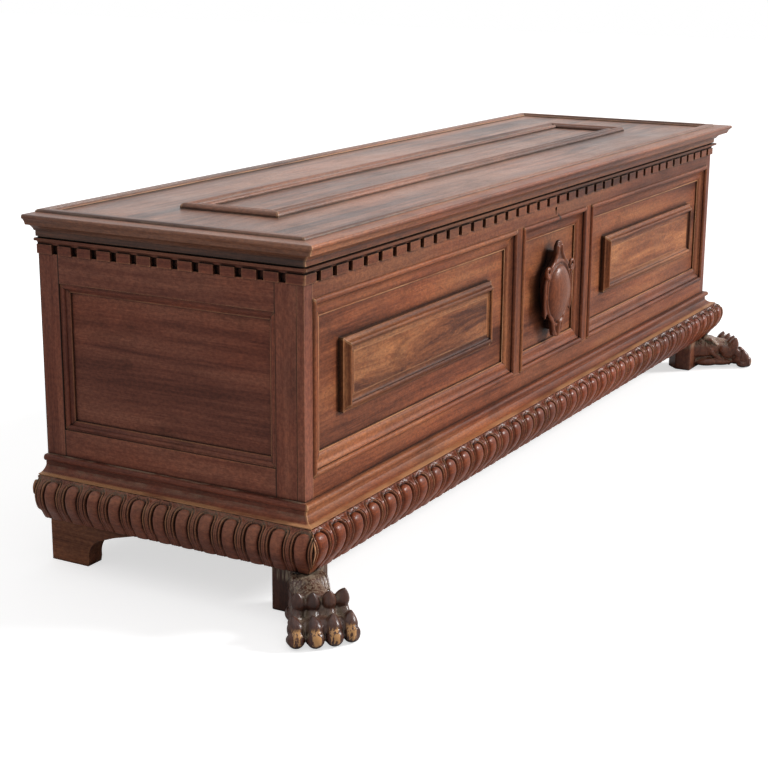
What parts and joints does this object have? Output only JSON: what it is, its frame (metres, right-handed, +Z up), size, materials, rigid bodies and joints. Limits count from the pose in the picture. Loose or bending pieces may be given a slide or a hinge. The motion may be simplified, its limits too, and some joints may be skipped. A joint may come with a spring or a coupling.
{
  "type": "marriage chest",
  "caption": "Long walnut chest with a hinged moulded lid, framed front with raised tablets and a shield, dentil cornice, gadrooned base and paw feet.",
  "frame": {"origin": "on the floor under the middle of the overall footprint", "axes": "X along the chest, +X to the right seen from the front; the front faces -Y; +Z up"},
  "size_m": [1.9188, 0.5854, 0.5538],
  "materials": {
    "walnut_front": "waxed reddish brown walnut",
    "walnut_end": "darker, purple brown walnut",
    "walnut_top": "worn waxed walnut with a soft sheen",
    "walnut_carved": "dark carved walnut, worn lighter on its edges",
    "inside_wood": "plain planed boards, not polished",
    "iron": "dark forged iron"
  },
  "bodies": {
    "chest": {"back_board_lower": "inside_wood", "back_board_upper": "inside_wood", "base_moulding_front": "walnut_carved", "base_moulding_left": "walnut_carved", "base_moulding_right": "walnut_carved", "bottom_battens": "inside_wood", "bottom_board": "inside_wood", "bracket_foot_left": "walnut_end", "bracket_foot_right": "walnut_end", "cartouche": "walnut_front", "case_nails": "iron", "cornice_front": "walnut_front", "cornice_left": "walnut_carved", "cornice_right": "walnut_carved", "end_board_left": "walnut_end", "end_board_right": "walnut_end", "end_bottom_rail_left": "walnut_end", "end_bottom_rail_right": "walnut_end", "end_moulding_left": "walnut_end", "end_moulding_right": "walnut_end", "end_stile_back_left": "walnut_end", "end_stile_back_right": "walnut_end", "end_stile_front_left": "walnut_end", "end_stile_front_right": "walnut_end", "end_top_rail_left": "walnut_end", "end_top_rail_right": "walnut_end", "front_board": "walnut_front", "front_bottom_rail": "walnut_front", "front_muntin_left": "walnut_front", "front_muntin_right": "walnut_front", "front_stile_left": "walnut_front", "front_stile_right": "walnut_front", "front_top_rail": "walnut_front", "gadroon_front": "walnut_carved", "gadroon_left": "walnut_carved", "gadroon_right": "walnut_carved", "hinge_case_leaves": "iron", "hinge_pins": "iron", "lock_plate": "iron", "panel_moulding_centre": "walnut_front", "panel_moulding_left": "walnut_front", "panel_moulding_right": "walnut_front", "paw_foot_left": "walnut_carved", "paw_foot_right": "walnut_carved", "tablet_left": "walnut_front", "tablet_moulding_left": "walnut_front", "tablet_moulding_right": "walnut_front", "tablet_right": "walnut_front"},
    "lid": {"lid_board_front": "walnut_top", "lid_board_back": "walnut_top", "lid_edge_front": "walnut_top", "lid_edge_left": "walnut_top", "lid_edge_right": "walnut_top", "lid_border": "walnut_top", "lid_centre_moulding": "walnut_top", "lid_battens": "inside_wood", "hinge_lid_leaves": "iron", "lid_staple": "iron", "lid_nails": "iron"},
    "lock_bolt_body": {"lock_bolt": "iron"}
  },
  "joints": [
    {"name": "lid_hinge", "type": "hinge", "parent": "chest", "child": "lid", "pos_m": [0, 0.28772, 0.511], "axis": [-1, 0, 0], "range_deg": [0, 100]},
    {"name": "bolt_slide", "type": "slide", "parent": "chest", "child": "lock_bolt_body", "axis": [1, 0, 0], "range_m": [0, 0.014]}
  ]
}
